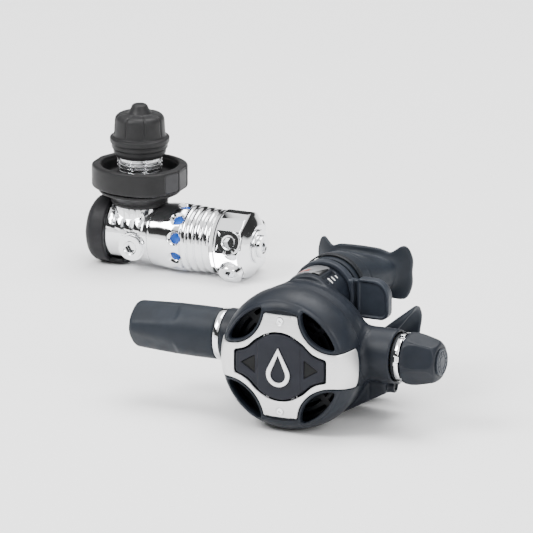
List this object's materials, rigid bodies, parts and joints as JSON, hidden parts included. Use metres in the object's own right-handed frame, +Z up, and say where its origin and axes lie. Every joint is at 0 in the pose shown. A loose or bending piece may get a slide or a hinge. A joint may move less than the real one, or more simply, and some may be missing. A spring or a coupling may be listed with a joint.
{
  "type": "scuba regulator set",
  "caption": "Scuba diving regulator set without hoses: chromed piston first stage with a swivel turret and a DIN connector, and a second stage with purge cover, mouthpiece and adjustment knob.",
  "frame": {"origin": "middle of the layout's bounding box at the table", "axes": "+X along both barrels, from the hose side to the adjustment knob and the turret; +Y away from the viewer, from the purge cover to the mouthpiece; +Z up, along the DIN connector"},
  "size_m": [0.2822, 0.2648, 0.0848],
  "materials": {
    "chrome": "polished",
    "steel": "satin",
    "satin_silver": "fine satin",
    "brass": "machined",
    "grey_plastic": "fine grain",
    "case_plastic": "fine grain",
    "button_plastic": "fine grain",
    "white_plastic": "smooth",
    "blue_plastic": "smooth",
    "black_rubber": "matte",
    "boot_rubber": "matte",
    "soft_silicone": "matte",
    "label": "printed",
    "sintered_bronze": "sintered",
    "spring_steel": "drawn wire"
  },
  "bodies": {
    "first_stage": {"first_stage_body": "chrome", "seat_retainer": "chrome", "high_pressure_seat": "white_plastic", "stem_oring": "black_rubber", "main_spring": "spring_steel", "thermal_sleeve": "blue_plastic", "piston_barrel": "chrome", "turret_bolt": "chrome", "turret_orings": "black_rubber", "end_port_plug": "chrome", "high_pressure_plugs": "chrome", "end_boot": "boot_rubber", "din_stem": "chrome", "din_filter": "sintered_bronze", "filter_circlip": "spring_steel", "din_face_oring": "black_rubber", "din_collar": "grey_plastic"},
    "piston_unit": {"piston": "steel", "piston_oring": "black_rubber"},
    "turret_unit": {"turret": "chrome", "low_pressure_plugs": "chrome"},
    "din_wheel": {"din_coupler": "chrome", "din_handwheel": "grey_plastic"},
    "din_cap_unit": {"din_cap": "grey_plastic"},
    "second_stage": {"case": "case_plastic", "cover_ring": "case_plastic", "vent_grille": "case_plastic", "bezel": "satin_silver", "bezel_screws": "steel", "purge_spring": "spring_steel", "diaphragm": "soft_silicone", "air_barrel": "brass", "orifice": "brass", "poppet_spring": "spring_steel", "barrel_gland": "case_plastic", "slotted_ring": "chrome", "inlet_fitting": "chrome", "inlet_ring": "chrome", "hose_tail": "brass", "mouthpiece": "soft_silicone", "mouthpiece_clamp": "black_rubber", "exhaust_tee": "soft_silicone", "label_plate": "label", "case_lock_pin": "steel"},
    "purge_unit": {"purge_button": "button_plastic", "emblem": "satin_silver"},
    "diaphragm_plate_unit": {"diaphragm_plate": "steel"},
    "demand_lever_unit": {"demand_lever": "steel"},
    "poppet_unit": {"poppet": "brass"},
    "adjust_screw_unit": {"adjust_screw": "brass", "balance_chamber": "white_plastic"},
    "knob_unit": {"adjust_knob": "case_plastic", "knob_end_plate": "button_plastic"},
    "venturi_unit": {"venturi_lever": "case_plastic", "venturi_vane": "case_plastic"},
    "exhaust_valve_unit": {"exhaust_valve": "soft_silicone"},
    "hose_nut_unit": {"hose_nut": "chrome"},
    "protector_unit": {"hose_protector": "soft_silicone"}
  },
  "joints": [
    {"name": "piston_slide", "type": "slide", "parent": "first_stage", "child": "piston_unit", "axis": [-1, 0, 0], "range_m": [0, 0.0011], "stiffness_N_per_m": 5000, "deforming": ["main_spring"]},
    {"name": "turret_swivel", "type": "hinge", "parent": "first_stage", "child": "turret_unit", "pos_m": [-0.05865, 0.10988, 0.0173], "axis": [1, 0, 0], "continuous": true},
    {"name": "din_wheel_turn", "type": "hinge", "parent": "first_stage", "child": "din_wheel", "pos_m": [-0.11565, 0.10988, 0.0473], "axis": [0, 0, 1], "continuous": true},
    {"name": "din_cap_lift", "type": "slide", "parent": "din_wheel", "child": "din_cap_unit", "axis": [0, 0, 1], "range_m": [0, 0.06]},
    {"name": "second_stage_lift", "type": "slide", "parent": "first_stage", "child": "second_stage", "axis": [0, 0, 1], "range_m": [0, 0.1]},
    {"name": "purge_press", "type": "slide", "parent": "second_stage", "child": "purge_unit", "axis": [0, 1, 0], "range_m": [0, 0.003], "stiffness_N_per_m": 400, "deforming": ["purge_spring"]},
    {"name": "diaphragm_travel", "type": "slide", "parent": "second_stage", "child": "diaphragm_plate_unit", "axis": [0, 1, 0], "range_m": [0, 0.003], "deforming": ["diaphragm"]},
    {"name": "demand_lever_swing", "type": "hinge", "parent": "second_stage", "child": "demand_lever_unit", "pos_m": [0.08185, -0.10482, 0.0364], "axis": [0, 0, -1], "range_deg": [0, 12.2]},
    {"name": "poppet_travel", "type": "slide", "parent": "second_stage", "child": "poppet_unit", "axis": [1, 0, 0], "range_m": [0, 0.00084], "deforming": ["poppet_spring"]},
    {"name": "knob_turn", "type": "hinge", "parent": "second_stage", "child": "knob_unit", "pos_m": [0.12985, -0.09512, 0.0364], "axis": [1, 0, 0], "range_deg": [-270, 270]},
    {"name": "adjust_screw_travel", "type": "slide", "parent": "second_stage", "child": "adjust_screw_unit", "axis": [1, 0, 0], "range_m": [-0.00085, 0.00085]},
    {"name": "venturi_turn", "type": "hinge", "parent": "second_stage", "child": "venturi_unit", "pos_m": [0.06985, -0.07612, 0.0579], "axis": [0, 1, 0], "range_deg": [-35, 35]},
    {"name": "exhaust_valve_lift", "type": "slide", "parent": "second_stage", "child": "exhaust_valve_unit", "axis": [0, 1, 0], "range_m": [0, 0.002], "stiffness_N_per_m": 60},
    {"name": "hose_nut_turn", "type": "hinge", "parent": "second_stage", "child": "hose_nut_unit", "pos_m": [0.01785, -0.09512, 0.0364], "axis": [1, 0, 0], "continuous": true},
    {"name": "protector_slide", "type": "slide", "parent": "second_stage", "child": "protector_unit", "axis": [-1, 0, 0], "range_m": [0, 0.03]}
  ],
  "couplings": [
    {"joint": "diaphragm_travel", "follows": "purge_press", "ratio": 1},
    {"joint": "demand_lever_swing", "follows": "purge_press", "rad_per_m": 66},
    {"joint": "poppet_travel", "follows": "purge_press", "ratio": 0.26},
    {"joint": "adjust_screw_travel", "follows": "knob_turn", "m_per_rad": 0.00015915}
  ]
}
